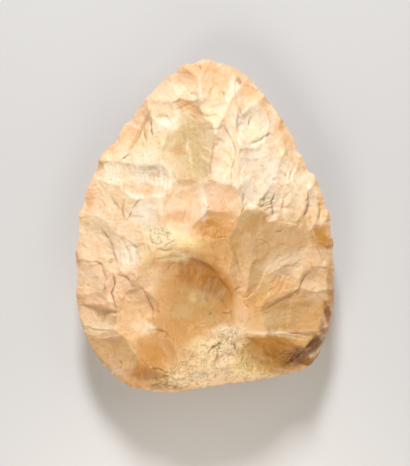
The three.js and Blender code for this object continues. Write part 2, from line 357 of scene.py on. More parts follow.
def tint(name):
    """A named colour as linear red, green and blue."""
    code = np.array([int(TINTS[name][k:k + 2], 16) for k in (0, 2, 4)]) / 255
    return np.where(code <= 0.04045, code / 12.92, ((code + 0.055) / 1.055) ** 2.4)


print(len(TINTS), "tints")

# %% [markdown]
# Under the scars' own tints lies the ground colour of each face, in broad soft zones. A zone is an
# oval whose rim is pushed about by a cloud, so that it looks soaked in and not drawn.

# %% Grounds
RIM_COLOUR_AND_SHADE = 0.65
FRONT_ZONES = [  # tint, strength, middle, half-width, half-height, and turn if there is one
    ("white", 0.7, 0, 40, 40, 30), ("tan", 0.9, 0, -33, 21, 22, -10), ("ochre", 0.85, 0, -31, 14, 16),
    ("grey tan", 0.9, 33, -8, 27, 18), ("tan", 0.9, 38, -38, 22, 11),
    ("toffee", 1.0, 32, -56, 14, 7, -14), ("olive", 0.9, -7, 33, 9, 16), ("tan", 0.9, 6, -6, 12, 11),
    ("sand", 0.8, -38, -58, 16, 10, -40), ("ochre", 0.55, -18, -54, 14, 11),
    ("pink", 0.6, -50, -25, 12, 22),
]
BACK_ZONES = [("tan", 0.8, 10, -45, 50, 26), ("white", 0.6, -5, 40, 30, 30)]


def patch(x, y, cx, cy, half_width, half_height, turn=0, softness=0.5):
    """A soft-edged oval: 1 inside and 0 outside, with its edge pushed about by a cloud."""
    angle = np.radians(turn)
    dx, dy = x - cx, y - cy
    u = (dx * np.cos(angle) + dy * np.sin(angle)) / half_width
    v = (dy * np.cos(angle) - dx * np.sin(angle)) / half_height
    ragged = np.hypot(u, v) + 0.25 * cloud(x, y, min(half_width, half_height), 21, 3)
    return 1 - smoothstep(1 - softness, 1 + softness, ragged)


def stain(patina, x, y, stains):
    """Each stain in turn pulls the colour towards its tint, by its strength."""
    for name, strength, *where in stains:
        patina = patina + strength * patch(x, y, *where)[:, None] * (tint(name) - patina)
    return patina


def front_ground(x, y):
    """Pinkish cream with the broad zones on it, and a warmer rim that is browner on the right, where the
    brown is painted shade of the edge turning away from the light.
    """
    patina = stain(np.broadcast_to(tint("blush"), x.shape + (3,)), x, y, FRONT_ZONES)
    rim = smoothstep(0.90, 1.0, polar(x, y)[1] + 0.05 * cloud(x, y, 6, 71, 2))[:, None]
    # towards the right the rim turns tan: painted shade where the edge turns away from the light
    tanned = smoothstep(20, 40, x)[:, None]
    rim_tint = tint("rose") * (1 - tanned) + tint("tan") * tanned
    return patina + RIM_COLOUR_AND_SHADE * rim * (rim_tint - patina)


def back_ground(x, y):
    """Plainer: cream, browner towards the butt."""
    return stain(np.broadcast_to(tint("blush"), x.shape + (3,)), x, y, BACK_ZONES)


print(len(FRONT_ZONES), "zones in front and", len(BACK_ZONES), "behind")

# %% [markdown]
# ## Front: thinning the blade
# The first blows were heavy. They ran a third of the way across and more, and set the thickness.
# Each line is one blow: where it fell on the edge, where its flake ran out, width, depth and tint.

# %% Broad scars
front = Face(FRONT_RISE, FRONT_POWER, front_ground)
front.strike((64, -6), (10, -10), 46, 1.3, "grey tan", ripple=0.03, pitch=6)
front.strike((-20, -72), (-18, -2), 36, 1.2, "sand")
front.strike((-60, 4), (-14, 8), 30, 1.2, "cream")
front.strike((-48, 36), (-10, 42), 30, 1.6, "honey")
front.strike((50, 36), (14, 20), 34, 1.4, "white", hackle=0.03)
front.strike((-7, 28), (-6, -8), 22, 1.5, "blush", hackle=0.1)
front.strike((-28, 64), (-4, 57), 14, 0.9, "blush")
front.strike((-8, 62), (-4, 18), 23, 1.7, "olive", fan=0, lean=-0.2, hackle=0.10)
front.strike((13, 54), (8, 16), 13, 1.3, "blush", hackle=0.12)
front.strike((33, 58), (17, 38), 17, 1.9, "white")
front.strike((-56, 24), (-11, 21), 15, 1.2, "white", fan=0.1, lean=-0.2, ripple=0.14, pitch=2.1)
front.strike((-42, 31), (-22, 60), 11, 2.0, "pink", fan=0)
front.strike((-14, -66), (-5, -12), 47, 2.0, "tan", fan=0.0, lean=-0.3, hackle=0.03)
print(len(front.scars), "broad scars")

# %% [markdown]
# ## Front: the tip
# Small flakes from the tip run down both ways off a short middle ridge.

# %% Tip scars
front.strike((-27, 56), (-9, 50), 9, 0.6, "cream")
front.strike((-14, 71), (-2, 60), 13, 1.1, "blush")
front.strike((5, 75), (6, 56), 14, 0.8, "rose", ripple=0.04, pitch=2.6)
front.strike((24, 67.5), (16, 53), 12, 1.1, "pink")
front.strike((-10, 58), (-1, 49), 7, 0.6, "rose")
front.strike((12.5, 55.5), (-1.5, 52.5), 7.5, 0.6, "cream", fan=0.0, lean=0.0)
print(len(front.scars), "scars so far")

# %% [markdown]
# ## Front: the right edge
# Long narrow flakes side by side, like flutes. Several broke off short in a ragged step.

# %% Right edge scars
front.strike((29, 56), (37, 31), 8, 0.9, "blush")
front.strike((36, 50), (46, 27), 7, 0.9, "pink")
front.strike((50, 30), (42, 18), 10, 1.1, "blush")
front.strike((42, 36), (33, 11), 10, 0.8, "cream")
front.strike((23, 24), (19, 8), 9, 0.8, "cream", lean=-0.5)
front.strike((33, 22), (28.5, 7), 7, 0.7, "cream", lean=-0.6)
front.strike((38, 23), (33, 3), 9, 0.8, "cream", lean=-0.5)
front.strike((45, 22), (40.5, 1), 8, 0.8, "cream", lean=-0.5)
front.strike((51, 21), (48.5, -1), 6.5, 0.8, "cream", lean=-0.4)
front.strike((56, 14), (53.5, -2), 5, 0.9, "cream")
front.strike((60, -2), (50, -4), 10, 1.0, "toffee")
front.strike((60, -14), (49, -14), 10, 0.8, "sand")
front.strike((46, -18), (27, -26), 10, 1.0, "sand")
front.strike((60, -26), (44, -24), 13, 1.3, "sand")
front.strike((60, -34), (47, -33), 10, 1.0, "sand")
print(len(front.scars), "scars so far")

# %% [markdown]
# ## Front: the middle
# Where the flakes from all sides met, a few short ones left a knot of ridges over the deep bowl.

# %% Middle scars
front.strike((2, 21), (16, 3), 14, 1.0, "pink", ripple=0.08, pitch=1.6)
front.strike((16, 3), (-6, 1), 11, 0.7, "ochre", fan=-0.2, hackle=0.16)
front.strike((7.5, -3), (9.5, -22), 9, 0.9, "tan", fan=-0.4)
front.strike((16, -3), (18, -30), 10, 0.9, "grey tan", fan=-0.3)
front.strike((30, -10), (22, -34), 11, 0.7, "grey tan", fan=-0.2)
print(len(front.scars), "scars so far")

# %% [markdown]
# ## Front: the left edge and the heel
# Short rounded scars overlap like scales up the left side. The heel was struck last and hardest.

# %% Left edge and heel scars
front.strike((-58, 16), (-37, 10), 18, 0.9, "blush", ripple=0.10, pitch=2.6)
front.strike((-58, 11), (-45, 10), 11, 0.9, "pink")
front.strike((-52, -14), (-26, -12), 20, 1.2, "blush", ripple=0.13, pitch=2.1)
front.strike((-61, -4), (-38.5, -9), 23, 1.5, "cream")
front.strike((-44, -38), (-32, -20), 13, 1.3, "pink")
front.strike((-60, -33), (-40, -30), 10, 0.9, "pink", hackle=0.12)
front.strike((-62, -22), (-44, -22.5), 16, 1.5, "blush")
front.strike((-34, -50), (-28, -26), 17, 1.9, "pink", fan=-0.1, lean=0.0, steep=1.6)
front.strike((-59, -42), (-36.5, -41), 13, 1.4, "blush", fan=0.1, lean=0.0, steep=1.3)
front.strike((-17, -68), (-22, -45), 15, 1.3, "tan")
front.strike((-54, -59), (-28, -55), 18, 0.8, "sand", fan=0.1, steep=1.4)
front.strike((-47, -67), (-37, -62), 7, 0.8, "sand")
front.strike((-40, -72), (-31, -65), 8, 0.9, "sand")
front.strike((-32, -79), (-23, -63), 18, 1.4, "tan")
front.strike((60, -42), (24, -38), 20, 1.2, "tan")
front.strike((55, -51), (26, -49), 7, 0.9, "toffee")
front.strike((48, -61.5), (18, -52.5), 16, 1.7, "toffee", fan=-0.05, lean=0.1, steep=1.6)
front.strike((57, -51), (47, -53), 6, 1.0, "brown")
front.strike((52, -60), (42, -59), 5, 0.8, "brown")
print(len(front.scars), "scars so far")

# %% [markdown]
# ## Back, and the trimming of the edge
# The back is hidden and plainer: big flakes struck inwards from all round. Last of all the edge
# was trimmed on both sides with small flakes, which give it its fine scalloped line.

# %% Back scars and edge trimming
BACK_STRIKES, BACK_ORDER = 13, 5
BACK_TINTS = ("sand", "pink", "cream", "tan", "blush")


def inwards(angle, distance):
    """A point at an angle, and a distance in from the outline."""
    radius = outline_radius(np.array(angle)) - distance
    return MIDDLE + radius * np.array([np.cos(angle), np.sin(angle)])


def spall(face, count, seed):
    """Small flakes that came away by themselves beside the big ones, scattered from half-way out
    to the rim. They have no tint of their own."""
    chance = np.random.default_rng(seed)
    for turn, out, size, askew, slim, deep in chance.uniform(0, 1, (count, 6)):
        angle = 2 * np.pi * turn
        start = inwards(angle, (0.52 - 0.47 * out ** 0.7) * outline_radius(np.array(angle)))
        aim = angle + 1.4 * (askew - 0.5)
        length = 3.0 + 7.5 * size * size
        end = start - length * np.array([np.cos(aim), np.sin(aim)])
        face.strike(start, end, length * (0.45 + 0.45 * slim), 0.08 + 0.16 * deep, None,
                    steep=2.5, fan=0.3)


def trim_edge(face, series, count, tints, length=6.5, width=5.5, depth=0.3):
    """Small blows spaced unevenly round the whole edge, each a little askew."""
    for i in range(count):
        angle = 2 * np.pi * (i + 0.15 + 0.7 * vary(i, series)) / count
        size = length * (0.6 + 0.8 * vary(i, series + 1))
        skew = 0.12 * (vary(i, series + 4) - 0.5)
        face.strike(inwards(angle, -0.25 * size), inwards(angle + skew, 0.75 * size),
                    width * (0.65 + 0.7 * vary(i, series + 2)),
                    depth * (0.5 + vary(i, series + 3)), tints[i % len(tints)])


back = Face(BACK_RISE, BACK_POWER, back_ground)
for i in range(BACK_STRIKES):
    angle = 2 * np.pi * (i * BACK_ORDER % BACK_STRIKES) / BACK_STRIKES + 0.3 * vary(i, 2)
    reach = outline_radius(np.array(angle)) * (0.6 + 0.25 * vary(i, 3))
    back.strike(inwards(angle, -3), inwards(angle, reach), 0.62 * reach, 1.2,
                BACK_TINTS[i % len(BACK_TINTS)], ripple=0.05, pitch=4.0)
spall(front, 150, 21)
spall(back, 40, 31)
trim_edge(front, 1, 64, ("blush", "cream", "pink", "sand"))
trim_edge(back, 7, 60, ("sand", "pink", "blush", "tan"))
print(len(front.scars), "scars in front and", len(back.scars), "behind")

# %% [markdown]
# ## The mesh
# A height over a flat grid would leave a ragged edge, and a polar grid would crowd at its pole.
# So a square grid is pressed into a disc, ring by ring, and its last ring is laid on the true edge:
# where the front and the back meet. The back's grid is half as fine, and a narrow band joins them.

# %% Grid
FRONT_CELLS, BACK_CELLS = 280, 140


def disc_grid(cells):
    """Square to disc: a point's larger coordinate is its share of the way out, and the smaller
    one's part of the larger is its place in that quarter turn. Returns shares and angles."""
    a, b = np.meshgrid(np.linspace(-1, 1, cells + 1), np.linspace(-1, 1, cells + 1))
    wide = np.abs(a) > np.abs(b)
    big = np.where(wide, a, b)
    small = np.where(wide, b, a)
    part = np.divide(small, big, out=np.zeros_like(big), where=big != 0)
    angle = np.where(wide, np.pi / 4 * part, np.pi / 2 - np.pi / 4 * part)
    return np.abs(big), np.where(big < 0, angle + np.pi, angle)


def ring_of(cells):
    """Indices of the grid's outer ring, anticlockwise from its lowest corner."""
    row = cells + 1
    side = np.arange(cells)
    return np.concatenate([side, side * row + cells, row * row - 1 - side,
                           (cells - side) * row])


print(FRONT_CELLS, "cells across the front and", BACK_CELLS, "across the back")

# %% [markdown]
# The true edge is where the thickness runs out. It is found by halving: a point is either on the
# stone or off it, and each guess halves the doubt. At the butt it is also finely chipped.

# %% True edge
HALVINGS = 14
INNERMOST, OUTERMOST = 0.82, 1.06
MEAN_RADIUS = 63
CHIPPING, CHIP_LENGTH = 0.6, 2.4
BACK_INSET = 0.992


def front_height(x, y):
    return edge_plane(x, y) + front.height(x, y)


def back_height(x, y):
    return edge_plane(x, y) - back.height(x, y)


def edge_radius(angle):
    """Where the thickness runs out, found by halving an interval round the outline."""
    near, far = INNERMOST * outline_radius(angle), OUTERMOST * outline_radius(angle)
    for _ in range(HALVINGS):
        middle = (near + far) / 2
        x, y = MIDDLE[0] + middle * np.cos(angle), MIDDLE[1] + middle * np.sin(angle)
        thick = front_height(x, y) > back_height(x, y)
        near, far = np.where(thick, middle, near), np.where(thick, far, middle)
    return near


ring_angle = np.sort(np.mod(disc_grid(FRONT_CELLS)[1].ravel()[ring_of(FRONT_CELLS)], 2 * np.pi))
ring_radius = edge_radius(ring_angle)
arc = MEAN_RADIUS * ring_angle
chips = np.abs(cloud(arc, 0 * arc, CHIP_LENGTH, 91, 3))
ring_radius -= CHIPPING * towards_butt(ring_angle) ** 3 * chips


def place(cells, out=1.0):
    """The grid's points in the plane, with its last ring at out times the edge's radius."""
    share, angle = disc_grid(cells)
    radius = out * share * np.interp(np.mod(angle, 2 * np.pi), ring_angle, ring_radius,
                                     period=2 * np.pi)
    return MIDDLE[0] + radius * np.cos(angle), MIDDLE[1] + radius * np.sin(angle)


front_x, front_y = place(FRONT_CELLS)
back_x, back_y = place(BACK_CELLS, out=BACK_INSET)
print(front_x.size + back_x.size, "points")

# %% [markdown]
# ## Steps and cracks
# Many flakes broke off short, and each left a small step. Cutting them one by one would need a
# scar for each. So a step is drawn as a smooth path, with the low ground on the right of someone
# walking along it. The ground drops there, and climbs back with distance. The deeper ones get a dark
# line along the path: partly dirt settled in the crack, partly painted shade under the step.
# The steps that catch the eye are listed, and short hairlines are scattered by chance.

# %% Paths
def smooth_path(points, steps=8):
    """A curve through the points: a cubic between each two, sloping there as its neighbours do."""
    points = np.array(points, float)
    ends = np.concatenate([2 * points[:1] - points[1:2], points, 2 * points[-1:] - points[-2:-1]])
    a, b, c, d = (ends[k:len(ends) - 3 + k, None] for k in range(4))
    t = (np.arange(steps) / steps)[:, None]
    curve = b + t / 2 * (c - a + t * (2 * a - 5 * b + 4 * c - d + t * (3 * (b - c) + d - a)))
    return np.concatenate([curve.reshape(-1, 2), points[-1:]])


def trace(x, y, path):
    """Distance from a path, positive on its right, and how far along it the nearest point is."""
    a, b = path[:-1], path[1:]
    edge = b - a
    length = np.hypot(*edge.T)
    qx, qy = x[:, None] - a[:, 0], y[:, None] - a[:, 1]
    share = np.clip((qx * edge[:, 0] + qy * edge[:, 1]) / length ** 2, 0, 1)
    away = np.hypot(qx - share * edge[:, 0], qy - share * edge[:, 1])
    k = away.argmin(1)[:, None]
    right = np.take_along_axis(qx * edge[:, 1] - qy * edge[:, 0], k, 1)[:, 0] > 0
    walked = np.concatenate([[0], np.cumsum(length)])
    along = walked[k[:, 0]] + np.take_along_axis(share * length, k, 1)[:, 0]
    away = np.take_along_axis(away, k, 1)[:, 0]
    return np.where(right, away, -away), along / walked[-1]


print("a path through 4 points is drawn with", len(smooth_path(KNOTS[:4])))

# %% Steps and cracks
DROP = 1.8
DIRT_AND_SHADE_WIDTH = 0.33
TICKS = 60
STEPS = [  # drop, how far it reaches, dark line (dirt and painted shade), path
    # upper left
    (0.8, 6, 0.5, [(-23.6, 54.8), (-26.3, 47.6), (-31.2, 38.6), (-34.8, 35)]),
    (0.3, 2, 0.9, [(-23.6, 49.5), (-23.5, 45.5), (-22.4, 42)]),
    (0.2, 2, 0.8, [(-26.9, 44.5), (-26.3, 42), (-25.4, 39.3)]),
    (0.3, 2, 1.0, [(-37.2, 31.5), (-35, 32.6), (-32.6, 34)]),
    (0.4, 6, 0.2, [(-23.3, 50.8), (-20, 51.6), (-16, 51), (-12.5, 46)]),
    (0.15, 6, 0.1, [(-43.8, 28.9), (-37, 29.4), (-29.8, 28.9), (-20, 27.5)]),
    (0.4, 4, 0.1, [(-15.5, 27.5), (-12.6, 23), (-13.5, 18), (-16.5, 14.5)]),
    (0.5, 3, 0.2, [(-24.7, 26.9), (-28, 22), (-32, 17), (-36, 14)]),
    (0.3, 3, 0.8, [(-35.6, 13.4), (-36.2, 9), (-35, 4.8)]),
    (0.3, 3, 0.8, [(-27.4, 14.2), (-30.4, 10.2), (-34.2, 3.8)]),
    (0.4, 4, 0.1, [(-42, 16), (-38.6, 9), (-42, 1)]),
    (0.3, 3, 0.2, [(-47.5, 15), (-45, 10), (-47, 4)]),
    (0.3, 2, 0.2, [(-19, 15), (-22.5, 10), (-24, 3)]),
    # tip
    (0.5, 4, 0.1, [(3, 60.5), (-1.7, 59.4), (-6.5, 61.3), (-10, 65.4), (-15.9, 64.7)]),
    (0.3, 2, 0.5, [(-13, 53.6), (-8.5, 56.2), (-4, 57.2), (-0.7, 56)]),
    (0.3, 1, 0.8, [(-5.8, 51.6), (-4.4, 50.8), (-3.6, 49.6)]),
    (0.4, 3, 0.6, [(-1.7, 55.6), (-0.4, 52.0), (2.9, 50.6), (8.4, 52.6)]),
    (0.4, 3, 0.2, [(8.5, 58), (5, 56.9), (1, 57.6)]),
    (0.5, 6, 0.2, [(17.5, 56), (15.2, 60), (14.6, 65), (15.6, 69.5)]),
    (0.3, 3, 0.1, [(11, 56), (9.5, 61), (10.5, 66)]),
    (0.3, 3, 0.1, [(3.5, 59), (4, 63), (6, 67)]),
    (0.3, 2, 0.7, [(20, 48.6), (17.6, 52), (16, 55.4)]),
    # upper right
    (0.6, 5, 0.4, [(18.8, 39.2), (15.7, 44), (15.6, 50), (17.5, 54)]),
    (0.6, 5, 0.4, [(18.4, 37.8), (24, 39.6), (29.6, 42.6), (33, 43)]),
    (0.3, 2, 0.9, [(9.6, 47), (12.5, 40.5), (15.2, 34)]),
    (0.7, 3, 0.4, [(14.5, 17), (13, 22), (13.4, 28), (14.8, 34)]),
    (0.4, 3, 0.5, [(16.6, 35.2), (18.6, 34.3)]),
    (0.5, 4, 0.2, [(3, 21), (3.4, 30), (5, 38), (4, 44)]),
    (0.3, 3, 0.2, [(-10, 45), (-6.5, 38), (-7, 28)]),
    (0.2, 5, 0.1, [(4, 25), (-2, 19.5), (-9, 18.4), (-14, 22)]),
    (0.4, 3, 0.4, [(36, 33), (33.4, 37), (30.4, 41.5)]),
    (0.4, 4, 0.2, [(39.6, 21), (40.6, 26), (42.4, 30)]),
    (0.5, 3, 0.55, [(45.5, 3.2), (47.9, 10), (47.6, 16), (46, 22)]),
    (0.5, 2, 0.6, [(52.6, 3.8), (53.4, 8), (53, 12)]),
    (0.3, 3, 0.5, [(24, 11.5), (27.4, 10), (27.8, 14), (30, 17.6)]),
    (0.4, 3, 0.8, [(30.2, 5), (31.8, 8), (31.1, 12), (32.8, 16)]),
    (0.5, 3, 0.3, [(35.4, 7.4), (36, 11), (36.4, 15)]),
    (0.4, 2, 0.7, [(17.9, 11.6), (18.4, 15.4)]),
    (0.6, 5, 0.0, [(45, -3), (43, 1), (37, 3), (32.6, 4.8), (27.1, 8.1), (21.1, 10.9), (15, 4)]),
    (0.3, 2, 0.5, [(29.9, 42.2), (33, 37.5), (35.2, 33.2)]),
    (0.3, 3, 0.3, [(18.2, 36.8), (22, 35.5), (27, 35.0)]),
    (0.3, 2, 0.5, [(1.5, 45.5), (6, 44.6), (9.5, 46.4)]),
    (0.3, 3, 0.3, [(27, 30), (31, 24), (38, 18)]),
    (0.3, 3, 0.3, [(20, 30), (17.5, 24), (18.5, 16)]),
    # middle
    (0.5, 5, 0.0, [(0, 4.5), (2.2, 9), (0.6, 14), (-1, 19)]),
    (0.4, 3, 0.1, [(-9, 2), (-8, 9), (-9.5, 17)]),
    (0.5, 3, 0.0, [(13, -5.2), (7.5, -4), (1, -4.4), (-3.5, -3)]),
    (0.3, 3, 0.4, [(9.2, -19.4), (9.8, -13), (11.4, -7)]),
    (0.3, 3, 0.5, [(18.8, -25), (15.4, -15), (13.2, -6.6)]),
    (0.2, 3, 0.3, [(30, -16), (25.6, -24.4), (23.4, -29.6)]),
    (0.4, 5, 0.0, [(-9, -13), (-1, -14.6), (5, -18.5), (9.6, -24.4), (13, -31), (15.4, -38)]),
    (0.4, 3, 0.0, [(23.4, -28.6), (19, -30.6), (14.4, -29.4)]),
    (0.4, 5, 0.0, [(-21, -13.5), (-15, -12), (-9, -12)]),
    (0.3, 3, 0.2, [(-12.4, -13), (-13, -21), (-12, -29)]),
    (0.4, 3, 0.4, [(-23.6, 0.6), (-23.4, -3.8), (-22, -7.5)]),
    (0.2, 2, 0.5, [(-20, -8.6), (-16.5, -9.3), (-13, -9.2)]),
    # left
    (0.6, 6, 0.3, [(-47, 1), (-42, -4.8), (-39.4, -11.5), (-38.6, -19)]),
    (0.3, 3, 0.2, [(-35.2, -5.4), (-32.8, -11), (-32.4, -18.5)]),
    (0.3, 3, 0.2, [(-31.6, -5), (-29.4, -11), (-29.2, -18)]),
    (0.6, 5, 0.3, [(-53, -14.8), (-47.3, -15.4), (-44.3, -19.9), (-44.3, -26.9), (-48, -30)]),
    (0.2, 1.5, 0.8, [(-53, -26.2), (-51.2, -26)]),
    (0.5, 4, 0.9, [(-40, -19.4), (-39.3, -24.4), (-40.5, -29.4), (-38.8, -36)]),
    (0.5, 4, 0.3, [(-39.3, -20), (-35.5, -21), (-32, -24), (-30, -27)]),
    (0.5, 3, 0.6, [(-37.5, -34), (-33.5, -29), (-29, -26.5), (-25.8, -28.4), (-23.4, -33.4),
                   (-21.7, -38.9), (-22, -43.5)]),
    (0.5, 5, 0.5, [(-56.5, -35.6), (-51.8, -34.6), (-47.3, -34.9), (-43.3, -36.7), (-37.2, -37.4)]),
    (0.4, 3, 0.4, [(-52.5, -45.2), (-46, -46), (-39, -45.6)]),
    (0.4, 4, 0.5, [(-36.8, -37.6), (-37, -42), (-39.5, -46)]),
    (0.6, 5, 0.3, [(-28.4, -50), (-29, -55), (-31.8, -59.5), (-35.8, -63.4)]),
    (0.5, 5, 0.2, [(-52, -51), (-45, -49.2), (-38, -48), (-31, -48)]),
    (0.4, 6, 0.1, [(-27.5, -48.5), (-23, -45.4), (-17, -46), (-13, -50)]),
    (0.2, 1, 0.6, [(-40.3, -56.2), (-39.6, -56.2)]),
    (0.6, 4, 0.2, [(-38, -66.5), (-30, -65), (-23, -62.6), (-12, -66)]),
    (0.4, 2, 0.9, [(-24, -71.2), (-20, -70.6), (-16.5, -70.8)]),
    (0.4, 2, 0.7, [(-19.6, -65), (-15, -66.4), (-10, -68)]),
    # right
    (0.5, 3, 0.4, [(50, 0.6), (51.4, -6.3), (54.9, -13), (55.2, -19.5)]),
    (0.4, 3, 0.9, [(40, -29.6), (43, -27.6), (44.4, -24.2), (48.6, -19.6)]),
    (0.35, 6, 0.0, [(26, -36.5), (33, -33), (39, -30), (45, -28.5)]),
    (0.5, 3, 0.0, [(43, -26.4), (40.4, -23.2), (35.6, -20.6)]),
    (0.6, 4, 0.0, [(47, -48.8), (41, -47.4), (34, -46.6), (27.5, -46.2)]),
    (1.0, 5, 0.4, [(17, -47.6), (23.6, -48.7), (30, -49.3), (36, -50.2), (41, -52.2), (46, -56)]),
    (0.6, 2, 0.9, [(45.2, -54.8), (48, -52.4), (52, -50)]),
    (0.6, 3, 0.8, [(36, -62.6), (42, -58.4), (47, -56.8)]),
    (0.5, 2, 0.6, [(47.4, -60), (49.6, -56.4), (52.4, -53.6)]),
    (0.3, 2, 0.8, [(21.2, -32.2), (20, -33.4), (20.6, -35)]),
    (0.2, 1, 0.8, [(8.4, -31.5), (10.2, -34.6)]),
    (0.2, 1, 0.9, [(8.6, -37), (12, -37.5)]),
    (0.5, 3, 0.6, [(2, -56), (5.5, -52), (10, -50)]),
    (0.5, 2, 0.7, [(10.5, -48), (7.4, -52), (6.4, -57.6), (4, -61)]),
]


def add_ticks():
    """Short hairline steps scattered over the face, most of them running inwards."""
    chance = np.random.default_rng(41)
    for turn, out, size, askew, bend, dark in chance.uniform(0, 1, (TICKS, 6)):
        angle = 2 * np.pi * turn
        middle = inwards(angle, (1.0 - 0.97 * out ** 0.6) * outline_radius(np.array(angle)))
        aim = angle + 2.4 * (askew - 0.5)
        along = (1.0 + 1.8 * size * size) * np.array([np.cos(aim), np.sin(aim)])
        across = 0.5 * (bend - 0.5) * np.array([along[1], -along[0]])
        STEPS.append((0.22, 1.2, 0.45 + 0.4 * dark,
                      [middle - along, middle + across, middle + along]))


def add_steps(x, y):
    """Relief and dark lines of all the steps; each line is dirt in a crack and painted shade under
    the step. The drop is full just right of its path, fades away
    exponentially beyond, and fades out at both ends. The paths are shaken a little."""
    sx, sy = x + 0.5 * cloud(x, y, 3.5, 11, 2), y + 0.5 * cloud(x, y, 3.5, 12, 2)
    broken = np.clip(0.7 + 0.6 * cloud(x, y, 1.8, 13), 0.1, 1)
    relief, dirt_and_shade = np.zeros(x.shape), np.zeros(x.shape)
    for drop, reach, dark, points in STEPS:
        path = smooth_path(points)
        margin = 4 * reach
        near = ((sx > path[:, 0].min() - margin) & (sx < path[:, 0].max() + margin)
                & (sy > path[:, 1].min() - margin) & (sy < path[:, 1].max() + margin))
        away, along = trace(sx[near], sy[near], path)
        taper = np.clip(4 * along, 0, 1) * np.clip(4 - 4 * along, 0, 1)
        relief[near] -= (DROP * drop * taper * smoothstep(-0.25, 0.25, away)
                         * np.exp(-np.maximum(away, 0) / (0.7 * reach)))
        # the dark line along a step: dirt in its crack, and painted shade under its riser
        line = (np.clip(1.6 * dark - 0.55, 0, 1) * broken[near] * (0.25 + 0.75 * taper)
                * np.exp(-(away / DIRT_AND_SHADE_WIDTH) ** 2))
        dirt_and_shade[near] = np.maximum(dirt_and_shade[near], line)
    return relief, dirt_and_shade


add_ticks()
print(len(STEPS), "steps")

# %% [markdown]
# ## Flow lines
# Where a flake tore rather than snapped, fine lines run the way that it came off. A texture could
# carry them, but they catch the light, so they are relief in the mesh and a streak in its colour.

# %% Flow lines
FLOWS = [  # middle, half-width, half-height, direction in degrees, pitch, strength
    (2.5, 29, 4, 9, -62, 0.9, 0.3), (9, 32, 4.5, 12, -40, 1.0, 0.3), (11, 10.5, 8, 5, 35, 1.1, 0.2),
    (24, -6, 7, 9, 75, 1.2, 0.15), (33, -10, 10, 8, 45, 1.3, 0.15), (-22, -26, 6, 14, 92, 1.3, 0.12),
    (-4, 60, 9, 7, -35, 1.2, 0.12), (5, -0.5, 8, 5, 85, 1.0, 0.25), (-33, -12, 6, 7, -78, 1.0, 0.2),
    (-19, 22.5, 8, 5, 90, 0.9, 0.12), (20, -38, 3.5, 6, 88, 1.3, 0.35), (31, 10, 6, 5, 60, 1.2, 0.25),
    (5, 66, 6, 6, 80, 1.3, 0.2), (-45, 12, 8, 8, 75, 1.1, 0.12), (-36, 14, 5, 9, -60, 1.2, 0.15),
    (-42, -34, 6, 5, -20, 1.0, 0.2), (40, 31, 6, 12, -65, 1.2, 0.15), (26, 28, 12, 10, -50, 1.2, 0.08),
    (-25, 45, 6, 8, 60, 1.5, 0.1), (12, -10, 3, 10, -75, 1.0, 0.12), (34, -24, 9, 6, 30, 1.2, 0.12),
    (44, -40, 10, 6, 20, 1.4, 0.1), (-40, -56, 10, 6, 25, 1.3, 0.1), (48, 12, 7, 9, -75, 1.2, 0.2),
    (-47, -42, 8, 4, 0, 1.1, 0.1), (43, -58, 9, 4, 25, 0.8, 0.5), (-22, -68, 10, 4, 5, 1.0, 0.25),
    (0, -30, 16, 16, 80, 1.6, 0.03),
]


def flow_lines(x, y):
    """Fine lines that ran with the crack through the flint, in patches: noise drawn out eight
    pitches long in its own direction, and one pitch wide."""
    lines = np.zeros(x.shape)
    for cx, cy, half_width, half_height, direction, pitch, strength in FLOWS:
        turn = np.radians(direction) + 0.25 * cloud(x, y, 9.0, 81)
        u, v = x * np.cos(turn) + y * np.sin(turn), y * np.cos(turn) - x * np.sin(turn)
        inside = patch(x, y, cx, cy, half_width, half_height, 0)
        lines += strength * inside * cloud(u / 8, v, pitch, 83, 2)
    return lines


print(len(FLOWS), "patches of flow lines")

# %% [markdown]
# ## Cortex
# The nodule's chalky skin is left at the butt, where nobody needed an edge, and in one small patch
# in the middle. It is a few overlapping ovals with ragged rims.

# %% Cortex
CORTEX = [  # middle, half-width, half-height, turn in degrees
    (3, -62, 19, 11, 8), (12, -52, 8, 8, 30), (-10, -70, 14, 4), (22, -70, 16, 4, 15),
    (-17, -4, 7, 4.5, -20),
]


def cortex_mask(x, y):
    """1 where there is cortex: the strongest of the ovals at each point."""
    return np.max([patch(x, y, *where) for where in CORTEX], axis=0)


print(len(CORTEX), "patches of cortex")
